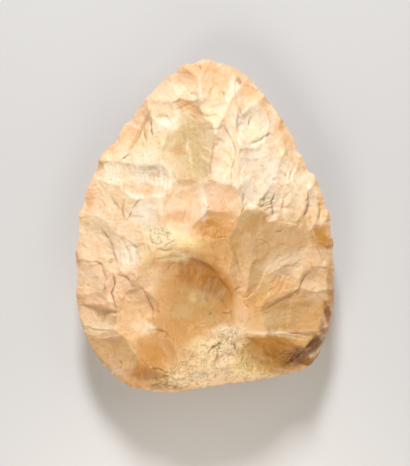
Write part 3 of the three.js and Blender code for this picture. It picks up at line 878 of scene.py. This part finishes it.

# %% [markdown]
# ## Stains, with painted light and shade
# Iron and clay left soft patches of colour that pay no heed to the scars. Some patches here are
# painted light and shade instead: darker bands where the upper wall of a hollow is in shade, and
# pale patches and thin pale lines where slopes and edges catch the light. They are the same soft
# ovals as the ground's zones, laid over the scars' tints, and each lies on those before it.

# %% Stains
STAINS_AND_PAINTED_LIGHT = [  # tint, strength, middle, half-width, half-height, and turn if there is one
    # deep ochre over the bowl's top and right wall: ochre patina, with painted shade of the walls that
    # face away from the light
    ("deep ochre", 0.85, -1, -17.5, 12, 4.5, -22), ("deep ochre", 0.6, 8, -26, 9, 4, -55),
    ("ochre", 0.55, -2, -29, 13, 12), ("sand", 0.6, -4.2, -30.9, 2.2, 2.2),
    ("ochre", 0.4, -10.7, 35.4, 4, 3), ("white", 0.7, -18, 47, 7, 4), ("white", 0.9, 0.6, 9, 1.4, 7),
    ("cream", 0.8, -6, 34, 0.9, 7, 8), ("umber", 0.9, -7, 71.3, 2.8, 0.9, -5),
    ("brown", 0.7, 16.6, 67.5, 1.3, 2.0, 20), ("tan", 0.6, -47, 29, 4, 1.6, 45),
    ("rose", 0.8, -52, 13, 2, 4.5), ("tan", 0.6, 35, 47, 1.8, 3.0, -30),
    ("brown", 0.6, -24, -67, 5, 2.2, 5), ("toffee", 0.5, -27, -68, 9, 4, 8),
    ("deep ochre", 0.5, 35, -57, 10, 4, 10), ("brown", 0.8, 41, -59.5, 8, 3.6, 22),
    ("umber", 0.85, 43, -58.5, 6, 1.8, 30), ("ochre", 0.6, 33, -65, 9, 2.0, 10),
    ("brown", 0.8, 57, -38, 1.5, 5, 10), ("brown", 0.8, 50.5, -53, 4, 3, 45),
    ("cream", 0.7, 50, -57, 1.4, 1.8, -30), ("pale chalk", 0.5, -16, -4, 8, 5, -15),
    ("chalk", 0.7, -6, -6.5, 8, 3.2, 5), ("blush", 0.6, -47, -41.5, 7, 3.5),
    # grey tan at the top of the shell-shaped scar: its tint and painted shade of its upper wall; blush
    # at its foot is painted light
    ("grey tan", 0.7, -29, -31.5, 7, 4, -15), ("blush", 0.6, -27, -44.5, 5.0, 4.0, 20),
    ("cream", 0.5, 54, -14, 2.5, 4), ("blush", 0.7, 50, -28, 7, 5, 20), ("olive", 0.5, 21, 6, 7, 4.5),
    ("honey", 0.3, 21, -42, 6, 4), ("blush", 0.5, 18, -34, 4, 5), ("sand", 0.5, 40, 36, 3, 12, 25),
    # the white patches on this line and the next: pale patina, brightened as painted light where the
    # slopes face the light
    ("blush", 0.5, -8, 72, 12, 5), ("white", 0.9, -25, 8, 7, 5, 20), ("white", 0.8, -20, 24, 9, 5),
    ("white", 0.7, -28, 33, 7, 4), ("white", 0.9, 24, 26, 10, 9), ("white", 0.7, -32, -12, 6, 5, -40),
    ("blush", 0.6, -51, -21, 6, 5), ("olive", 0.5, -4, 28, 6, 8), ("toffee", 0.6, 4, -1, 8, 4.5),
    ("brown", 0.8, 50, -54, 4, 2.5, 40), ("toffee", 0.6, 54, -4, 4, 5), ("rose", 0.4, 10, 12, 8, 5, 30),
    ("rose", 0.5, 18, -36, 5, 5), ("rose", 0.5, -58, -14, 2.5, 12), ("olive", 0.5, 2, -30, 6, 6),
    ("blush", 0.5, -46, -43, 9, 6), ("blush", 0.4, -34, -24, 5, 5), ("sand", 0.5, -39, -56, 8, 5, 20),
    ("sand", 0.6, 8, 47, 3, 4), ("rose", 0.5, 0, 71, 17, 5), ("deep ochre", 0.5, -51, 26, 1.6, 7, -27),
    # the first rose band, under the lower rim of the long scar above it, is painted shade
    ("rose", 0.6, -28, 18, 10, 2.4, -8), ("rose", 0.5, -10, 6, 6, 3.5), ("ochre", 0.5, 6, 0, 6, 3.5),
    ("cream", 0.55, 38, -16, 11, 5, 15), ("blush", 0.6, 51, -14, 6, 7),
    ("deep ochre", 0.5, 58.5, -26, 1.6, 9), ("blush", 0.7, -24, -22, 7, 9, 10),
    ("sand", 0.5, -20, -36, 7, 9), ("honey", 0.8, -14, -12, 9, 2.6, -5),
    ("deep ochre", 0.5, -3, -25, 8, 5, -25), ("blush", 0.6, -43, -48, 7, 2.6),
    ("blush", 0.4, -44, -54, 8, 4, 10), ("honey", 0.4, 19, -61, 5, 4),
    ("chalk", 0.6, 24, -65, 8, 2.5, 12), ("toffee", 0.7, 41, -48.5, 9, 2.2, -8),
    ("brown", 0.6, 42, -57, 5, 3.5), ("deep ochre", 0.6, -26, -65, 8, 3, 5),
    ("brown", 0.5, -15, -72, 7, 1.2), ("sand", 0.6, 42, -31, 6, 3, 20), ("cream", 0.6, 25, 11, 5, 4),
    ("cream", 0.6, 35, -47, 5, 1.2, -5), ("gold", 0.6, 0, -28, 10, 11, -20),
    ("gold", 0.5, -24, -58, 5, 6, -30), ("gold", 0.35, -14, -46, 9, 7), ("gold", 0.4, 5, 0, 6, 3),
    ("gold", 0.6, 29, -55.5, 11, 6, -16), ("chalk", 0.8, 19, -61.5, 6, 4.5, -10),
    ("amber", 0.5, 27, -62.5, 6, 2, -10), ("gold", 0.7, 29, -50.5, 11, 2.6, -8),
    ("gold", 0.3, -5, -38, 16, 9), ("gold", 0.25, -20, -57, 9, 9),
    ("umber", 0.5, 43, -56, 3.5, 2.5, 40), ("tan", 0.3, 38, -41, 11, 4, -5),
    ("tan", 0.3, -35, -42, 2.0, 6, 10), ("tan", 0.6, -3, 73, 13, 3), ("tan", 0.5, 21, -30, 4, 4),
    ("cream", 0.6, 21, 22, 7, 9), ("cream", 0.4, 25, 42, 7, 6), ("blush", 0.6, -47, -47, 6, 2.5),
    ("sand", 0.6, -42, -54, 6, 4), ("tan", 0.4, -7, 23, 5, 3), ("white", 0.7, 14.6, 65, 1.4, 5, 5),
    ("blush", 0.8, -50, -22, 8, 6), ("blush", 0.6, -48, -4, 8, 8), ("blush", 0.7, -46, -41, 9, 4),
    ("blush", 0.8, -44, -47.5, 8, 2), ("olive", 0.5, -3, -31, 5, 4), ("deep ochre", 0.5, 2, -25, 3, 5),
    ("deep ochre", 0.5, -7, -21, 4, 3), ("brown", 0.35, 6, -27, 3, 6, 35),
    ("olive", 0.5, -9, -37, 5, 4), ("olive", 0.4, 3, -40, 5, 3), ("gold", 0.4, 24, 3, 3, 7, -50),
    ("amber", 0.7, 21, -57, 6, 5, -10), ("amber", 0.6, 28, -60.5, 7, 2.6, -12),
    ("tan", 0.5, -31, -47, 6, 3.5), ("deep ochre", 0.6, -17, -72, 8, 2.2), ("tan", 0.5, -10, 5, 7, 3),
    ("tan", 0.6, 7, -11, 8, 5), ("tan", 0.5, 29, -29, 9, 3, 25), ("olive", 0.6, 42, 5.5, 3, 2.5),
    ("deep ochre", 0.5, 57, -6, 2.2, 3), ("pale chalk", 0.5, 3, -52, 9, 4),
    ("blush", 0.6, 46, -48, 5, 2), ("white", 0.6, 23, 16, 6, 6), ("pink", 0.7, -33, 46.5, 3.2, 9, -28),
    # the first thin tan band, along the long edge facet's inner wall, is painted shade
    ("tan", 0.7, -29.3, 43.5, 1.1, 10, -28), ("tan", 0.5, -25, 47, 1.6, 6, -10),
    # these two thin pale lines along the lower rim of the right-hand panel are painted highlight
    ("cream", 0.8, 26, -46.4, 8, 0.7, -4), ("honey", 0.7, 39, -48.8, 7, 0.6, -14),
    ("sand", 0.4, 26, -41, 5, 4), ("cream", 0.8, -47, -44, 7, 3), ("tan", 0.5, -45, -36.6, 7, 1.4, -8),
    ("sand", 0.6, -35, -39, 7, 7), ("cream", 0.8, -24, -44.5, 2.6, 2.2),
    ("honey", 0.5, -4.2, -30.9, 1.7, 1.9), ("gold", 0.4, -24, -60, 4, 4),
    ("cream", 0.5, -29, -44.5, 4, 1.6, -25), ("olive", 0.3, -3, -33, 12, 9),
    ("gold", 0.5, 54, -4, 2.6, 4), ("toffee", 0.5, 25, -32, 5, 3), ("honey", 0.35, 33, -40, 7, 3.5),
    ("cream", 0.5, 34, -46, 6, 1.2, -3), ("umber", 0.4, 54.5, -46, 1.4, 3),
    ("gold", 0.35, 3, -14, 6, 2.6, -10), ("tan", 0.5, -3, -44, 6, 3),
    ("cream", 0.6, 10, -45.5, 7, 2.4, 5), ("tan", 0.4, -20, 52, 3, 2.5), ("sand", 0.4, 0, 52, 3, 2),
    ("white", 0.5, 10, 43, 5, 6), ("olive", 0.6, -8, 25, 5, 4), ("white", 0.6, 21, 25, 5, 6),
]
print(len(STAINS_AND_PAINTED_LIGHT), "stains")

# %% [markdown]
# ## Both faces
# Everything so far is now worked out at each point of the two grids. Steps, flow lines and stains
# are on the front only, and the back has a round patch of cortex. Relief fades out where the
# stone is thin, so that the two faces never cross.

# %% Carve both faces
SWELL, CORTEX_RELIEF, PIT_DEPTH = 0.05, 0.55, 0.35
THIN = 1.5
LINES_TO_STREAK = 4
BUTT_RIM_SHADE = 0.35
BACK_CORTEX = (0, -11, 21, 21)


def finish_relief(x, y, thickness, cortex, steps):
    """Relief over the scars: faint swells, steps, and rough cortex less its pits. Returns it with
    the pits by themselves."""
    swell = SWELL * cloud(x, y, 5.0, 31, 2)
    rough = CORTEX_RELIEF * cloud(x, y, 5.0, 41, 5)
    pitted = smoothstep(-0.3, 0.5, cloud(x, y, 7.0, 52, 2))
    pits = pitted * smoothstep(0.35, 0.8, cloud(x, y, 1.0, 51, 2))
    relief = swell + steps + cortex * (rough - PIT_DEPTH * pits)
    return relief * np.clip(thickness / THIN, 0, 1), cortex * pits


def finish_face(face, x, y, upwards):
    """Height, patina, cortex, cracks with painted shade, pits, ridges and streaks of one face, as a
    dictionary.
    """
    height, patina, ridge, streak = face.carve(x, y)
    thickness = height + (back if upwards else front).height(x, y)
    if upwards:
        steps, cracks_and_shade = add_steps(x, y)
        lines, cortex = flow_lines(x, y), cortex_mask(x, y)
        patina = stain(patina, x, y, STAINS_AND_PAINTED_LIGHT)
    else:
        steps, cracks_and_shade, lines = np.zeros((3, x.size))
        cortex = patch(x, y, *BACK_CORTEX)
    relief, pits = finish_relief(x, y, thickness, cortex, steps + lines)
    # painted shade along the rim of the butt, where the stone turns away from the light
    rim = smoothstep(0.955, 0.995, polar(x, y)[1]) * smoothstep(-40, -62, y)
    cracks_and_shade = np.maximum(cracks_and_shade, BUTT_RIM_SHADE * rim * np.clip(0.6 + cloud(x, y, 2.0, 92, 2), 0, 1))
    side = 1 if upwards else -1
    return {"z": edge_plane(x, y) + side * (height + relief), "patina": patina,
            "cortex": cortex, "crack_and_shade": cracks_and_shade, "pit": pits, "ridge": ridge,
            "streak": streak + LINES_TO_STREAK * lines}


front_side = finish_face(front, front_x.ravel(), front_y.ravel(), True)
back_side = finish_face(back, back_x.ravel(), back_y.ravel(), False)
print("front rises to", round(front_side["z"].max(), 1), "and the back reaches down to",
      round(back_side["z"].min(), 1), "mm")

# %% [markdown]
# The two grids become one closed mesh. Their rings don't meet point to point, because the front's
# has twice as many, so each pair of cells on the front's rim shares three triangles with the back's.

# %% Join the faces
def quads(cells, start, upwards):
    """Corner indices of every cell of a grid whose points start at an index."""
    row = cells + 1
    i, j = np.meshgrid(np.arange(cells), np.arange(cells))
    first = (start + j * row + i).ravel()
    ways = [0, 1, row + 1, row] if upwards else [0, row, row + 1, 1]
    return first[:, None] + np.array(ways)


front_ring = ring_of(FRONT_CELLS)
back_start = front_x.size
back_ring = ring_of(BACK_CELLS) + back_start
ring_x, ring_y = front_x.ravel()[front_ring], front_y.ravel()[front_ring]
front_z = front_side["z"]
front_z[front_ring] = (front_height(ring_x, ring_y) + back_height(ring_x, ring_y)) / 2

points = np.stack([np.concatenate([front_x.ravel(), back_x.ravel()]),
                   np.concatenate([front_y.ravel(), back_y.ravel()]),
                   np.concatenate([front_z, back_side["z"]])], axis=1)
near, mid, far = front_ring[0::2], front_ring[1::2], np.roll(front_ring, -2)[0::2]
inner, inner_far = back_ring, np.roll(back_ring, -1)
band = np.concatenate([np.stack([near, inner, mid], 1), np.stack([inner, inner_far, mid], 1),
                       np.stack([inner_far, far, mid], 1)])
cells = np.concatenate([quads(FRONT_CELLS, 0, True), quads(BACK_CELLS, back_start, False)])
print(2 * len(cells) + len(band), "triangles")

# %% [markdown]
# The stone lies on its back. A small flat there, under its centre of mass, keeps it from rocking.
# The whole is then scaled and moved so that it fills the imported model's box.

# %% Lie it down
REST_DEPTH = 0.5
SHARP_ANGLE = 48
lowest = points[:, 2].min() + REST_DEPTH
points[:, 2] = np.maximum(points[:, 2], lowest)
low, high = points.min(0), points.max(0)
scale = (node_high[1] - node_low[1]) / (high[1] - low[1])
points = (points - [(low[0] + high[0]) / 2, (low[1] + high[1]) / 2, lowest]) * scale
points += [(node_low[0] + node_high[0]) / 2, (node_low[1] + node_high[1]) / 2, node_low[2]]

mesh = bpy.data.meshes.new("flint_hand_axe")
mesh.from_pydata(points.tolist(), [], [*cells.tolist(), *band.tolist()])
mesh.validate()
mesh.set_sharp_from_angle(angle=np.radians(SHARP_ANGLE))
for name in ("cortex", "crack_and_shade", "pit", "ridge", "streak"):
    values = np.concatenate([front_side[name], back_side[name]])
    mesh.attributes.new(name, "FLOAT", "POINT").data.foreach_set("value", values)
colours = np.ones((len(points), 4))
colours[:, :3] = np.concatenate([front_side["patina"], back_side["patina"]])
mesh.attributes.new("patina", "FLOAT_COLOR", "POINT").data.foreach_set("color", colours.ravel())
axe = bpy.data.objects.new("flint_hand_axe", mesh)
bpy.context.scene.collection.objects.link(axe)
print("mesh of", len(mesh.polygons), "faces")

# %% [markdown]
# ## The finish
# Patinated flint is smooth and waxy, and the light slides over it. Cortex is chalk: matt and dusty.
# Both are one material, because the one grades into the other. The patina, the cortex and the
# cracks, with painted shade along the steps and the butt's rim, come from the mesh, and the nodes
# add what is finer than its points. Wiring nodes one by one is slow to write and to read, so a
# small class turns sums written in Python into Math nodes.

# %% A helper for shader sums
class Socket:
    """A node's output that can be added, multiplied and so on in a Python expression."""

    def __init__(self, tree, output):
        self.tree, self.output = tree, output

    def feed(self, slot, value):
        """Links a socket to an input, or sets the input to a plain value."""
        if isinstance(value, Socket):
            self.tree.links.new(value.output, slot)
        else:
            slot.default_value = value

    def node(self, kind, settings=None, **inputs):
        """Adds a node with its settings, feeds its inputs, and returns its first output. An
        input is given by its name, or by i and its number."""
        made = self.tree.nodes.new(kind)
        for key, value in (settings or {}).items():
            setattr(made, key, value)
        for key, value in inputs.items():
            place = int(key[1:]) if key[1:].isdigit() else key.replace("_", " ")
            self.feed(made.inputs[place], value)
        return Socket(self.tree, next(output for output in made.outputs if output.enabled))

    def output_named(self, name):
        """Another output of the node that this one comes from."""
        return Socket(self.tree, self.output.node.outputs[name])

    def maths(self, operation, first, second):
        """A Math node on two values."""
        return self.node("ShaderNodeMath", {"operation": operation}, i0=first, i1=second)

    def __add__(self, other):
        return self.maths("ADD", self, other)

    def __sub__(self, other):
        return self.maths("SUBTRACT", self, other)

    def __mul__(self, other):
        return self.maths("MULTIPLY", self, other)

    def __radd__(self, other):
        return self.maths("ADD", other, self)

    def __rsub__(self, other):
        return self.maths("SUBTRACT", other, self)

    def __rmul__(self, other):
        return self.maths("MULTIPLY", other, self)

    def or_more(self, other):
        """The larger of this and another."""
        return self.maths("MAXIMUM", self, other)

    def between(self, low, high):
        """0 below low, 1 above high, eased between."""
        return self.node("ShaderNodeMapRange", {"interpolation_type": "SMOOTHSTEP"},
                         Value=self, From_Min=low, From_Max=high)

    def mix(self, other, share, blend="MIX"):
        """This colour moved towards another by a share."""
        settings = {"data_type": "RGBA", "blend_type": blend}
        mixed = self.node("ShaderNodeMix", settings, i0=share, i6=self, i7=other)
        return Socket(self.tree, mixed.output.node.outputs[2])


def rgba(name):
    """A named tint as a shader colour."""
    return (*tint(name), 1.0)


print("tan in the shader is", np.round(rgba("tan"), 3))

# %% [markdown]
# The colour starts from the patina and passes through four thin washes, each in its own cloud.
# Then come streaks along the way a flake ran, pale lines on ridges that are wear and painted
# highlight, rusty lines on worn ridges, chalk on the cortex, specks, and dirt with painted shade in
# the cracks and steps. The bumps are noise at two sizes, with coarser ones on the cortex.

# %% Flint and cortex
WASHES = [  # colour, strength, then a cloud: size in mm, detail, roughness, distortion, low, high
    ((1.00, 0.96, 0.76), 0.60, 15, 4, 0.60, 0.6, 0.45, 0.68),  # yellowed
    ((1.00, 0.89, 0.80), 0.70, 10, 4, 0.60, 0.8, 0.48, 0.70),  # pinked
    ((0.92, 0.80, 0.62), 0.90, 5, 6, 0.70, 1.0, 0.50, 0.72),   # tanned
    ((0.90, 0.92, 0.74), 0.65, 7, 5, 0.65, 0.7, 0.54, 0.72),   # greened
]
DIMMED = (0.96, 0.90, 0.82, 1.0)
TAN_STREAKS, WHITE_STREAKS = 0.36, 0.12
PALE_RIDGES_AND_HIGHLIGHTS, RUSTY_RIDGES = 0.35, 0.45
SPECKS, CORTEX_SPECKS = 0.5, 0.35
PIT_DIRT, HOLE_DIRT, CRACK_DIRT_AND_SHADE = 0.4, 0.8, 0.9
FLINT_ROUGHNESS, CORTEX_ROUGHNESS, CRACK_AND_SHADE_ROUGHNESS = 0.46, 0.4, 0.2
FLINT_IOR = 1.5
BUMP_STRENGTH, BUMP_HEIGHT = 0.9, 0.36


def stone_colour(patina, cortex, crack_and_shade, pit, ridge, streak, noise, mottle, holes):
    """The patina under washes, streaks, ridge lines with painted highlight, chalk, and dirt with painted
    shade, in that order.
    """
    specks = noise(0.7, 2, 0.5).between(0.66, 0.74)
    worn = noise(6, 3)
    colour = patina
    for wash, strength, *shape, low, high in WASHES:
        where = noise(*shape).between(low, high)
        colour = colour.mix((*wash, 1.0), strength * where, "MULTIPLY")
    colour = colour.mix(DIMMED, 0.7 * mottle, "MULTIPLY")
    colour = colour.mix(rgba("tan"), TAN_STREAKS * streak.between(0.2, 1.1))
    colour = colour.mix(rgba("white"), WHITE_STREAKS * (0.0 - streak).between(0.2, 1.2))
    # pale lines on ridges: wear, and painted highlight where the ridges catch the light
    colour = colour.mix(rgba("white"), PALE_RIDGES_AND_HIGHLIGHTS * ridge * worn.between(0.52, 0.66))
    colour = colour.mix(rgba("ochre"), RUSTY_RIDGES * ridge * (1 - worn.between(0.34, 0.50)))
    chalk = patina.mix(rgba("pale chalk"), 0.6 * mottle)
    chalk = chalk.mix(rgba("grey chalk"), 0.5 * noise(2.2, 4, 0.7).between(0.52, 0.7))
    colour = colour.mix(chalk, cortex)
    colour = colour.mix(rgba("brown"), specks * (SPECKS + CORTEX_SPECKS * cortex))
    colour = colour.mix(rgba("umber"), (PIT_DIRT * pit).or_more(HOLE_DIRT * cortex * holes))
    # umber along cracks and steps: dirt in the cracks, and painted shade under step risers and along the
    # butt's rim
    return colour.mix(rgba("umber"), CRACK_DIRT_AND_SHADE * crack_and_shade)


def make_stone():
    """Colour, roughness and bumps of the whole stone."""
    material = bpy.data.materials.new("patinated_flint")
    material.use_nodes = True
    tree = material.node_tree
    shader = next(n for n in tree.nodes if n.type == "BSDF_PRINCIPLED")
    start = Socket(tree, None)
    place = start.node("ShaderNodeTexCoord").output_named("Object")

    def noise(size_mm, detail=3.0, roughness=0.55, distortion=0.0):
        return start.node("ShaderNodeTexNoise", Vector=place, Scale=1 / (size_mm * MM),
                          Detail=detail, Roughness=roughness, Distortion=distortion)

    def painted(name, kind="Fac"):
        return start.node("ShaderNodeAttribute", {"attribute_name": name}).output_named(kind)

    patina = painted("patina", "Color")
    cortex, crack_and_shade, pit, ridge, streak = map(painted, ("cortex", "crack_and_shade", "pit", "ridge", "streak"))
    mottle = noise(2.4, 5, 0.68).between(0.32, 0.68)
    holes = noise(0.5, 2, 0.6).between(0.56, 0.68) * noise(4, 3).between(0.38, 0.60)
    colour = stone_colour(patina, cortex, crack_and_shade, pit, ridge, streak, noise, mottle, holes)
    tree.links.new(colour.output, shader.inputs["Base Color"])
    roughness = FLINT_ROUGHNESS + 0.12 * mottle + CORTEX_ROUGHNESS * cortex
    roughness = roughness + CRACK_AND_SHADE_ROUGHNESS * crack_and_shade - 0.05 * ridge
    tree.links.new(roughness.output, shader.inputs["Roughness"])
    shader.inputs["IOR"].default_value = FLINT_IOR
    height = noise(2.2, 5, 0.6) + 0.6 * noise(0.7, 3, 0.6)
    height = height + cortex * (1.2 * noise(1.1, 4, 0.7) - holes)
    bump = start.node("ShaderNodeBump", Height=height, Strength=BUMP_STRENGTH,
                      Distance=BUMP_HEIGHT * MM)
    tree.links.new(bump.output, shader.inputs["Normal"])
    return material


axe.data.materials.append(make_stone())
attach(axe, "root")
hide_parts("hand_axe")
print("nodes:", len(axe.data.materials[0].node_tree.nodes))

# %% [markdown]
# ## Floor, light and camera
# The stone lies face up on a plain pale floor. One soft light stands beyond the tip, so that the
# upper rim of each scar is in shade and the lower one is lit. Two weaker and warmer ones fill the
# shade from the butt end and from the right, and a small low one reaches under the blunt butt.

# %% Stage
FLOOR_HALF, FLOOR_GAP = 3.0, 0.0002
LIGHTS = [  # name, place and size in metres, watts, colour
    ("key", (-0.06, 0.95, 0.66), 0.25, 15.2, (1.0, 1.0, 1.0)),
    ("front", (-0.50, -0.72, 0.85), 0.5, 3.3, (1.0, 0.91, 0.79)),
    ("side", (0.8, 0.35, 0.75), 0.6, 1.9, (1.0, 0.92, 0.82)),
    ("butt", (0.0, -0.24, 0.13), 0.16, 0.30, (1.0, 0.92, 0.80)),
]
WORLD_COLOUR, WORLD_STRENGTH = (1.0, 0.94, 0.86, 1.0), 0.14


def plain(name, colour, roughness):
    """A material of one colour and one roughness."""
    material = bpy.data.materials.new(name)
    material.use_nodes = True
    shader = next(n for n in material.node_tree.nodes if n.type == "BSDF_PRINCIPLED")
    shader.inputs["Base Color"].default_value = (*colour, 1.0)
    shader.inputs["Roughness"].default_value = roughness
    return material


def area_light(name, position, size, watts, colour):
    """A square light at a place, facing the stone."""
    light = bpy.data.lights.new(name, "AREA")
    light.size, light.energy, light.color = size, watts, colour
    lamp = bpy.data.objects.new(name, light)
    bpy.context.scene.collection.objects.link(lamp)
    lamp.location = position
    lamp.rotation_mode = "QUATERNION"
    lamp.rotation_quaternion = (-Vector(position)).to_track_quat("-Z", "Y")


corners = [(-1, -1), (1, -1), (1, 1), (-1, 1)]
floor_mesh = bpy.data.meshes.new("floor")
floor_mesh.from_pydata([(x * FLOOR_HALF, y * FLOOR_HALF, cad_low[2] - FLOOR_GAP)
                        for x, y in corners], [], [(0, 1, 2, 3)])
floor = bpy.data.objects.new("floor", floor_mesh)
bpy.context.scene.collection.objects.link(floor)
floor.data.materials.append(plain("pale_floor", (0.62, 0.62, 0.63), 0.8))
floor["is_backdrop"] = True

for light in LIGHTS:
    area_light(*light)
world = bpy.data.worlds.new("studio")
bpy.context.scene.world = world
world.use_nodes = True
world.node_tree.nodes["Background"].inputs["Color"].default_value = WORLD_COLOUR
world.node_tree.nodes["Background"].inputs["Strength"].default_value = WORLD_STRENGTH
bpy.context.scene.view_settings.view_transform = "Standard"
print(len(LIGHTS), "lights")

# %% [markdown]
# The camera looks straight down on the stone, from far enough away to flatten it a little.

# %% Camera
FRAME_HEIGHT = 209.3 * MM
LENS, SENSOR = 100.0, 36.0
AIM_Y = -3.1 * MM
camera_data = bpy.data.cameras.new("camera")
camera_data.lens, camera_data.sensor_width = LENS, SENSOR
camera = bpy.data.objects.new("camera", camera_data)
bpy.context.scene.collection.objects.link(camera)
middle_z = (cad_low[2] + cad_high[2]) / 2
camera.location = (0.0, AIM_Y, middle_z + FRAME_HEIGHT * LENS / SENSOR)
camera.rotation_euler = (0, 0, 0)
bpy.context.scene.camera = camera
print("camera", round(camera.location.z, 3), "m above the floor")

# %% Finish
low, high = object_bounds()
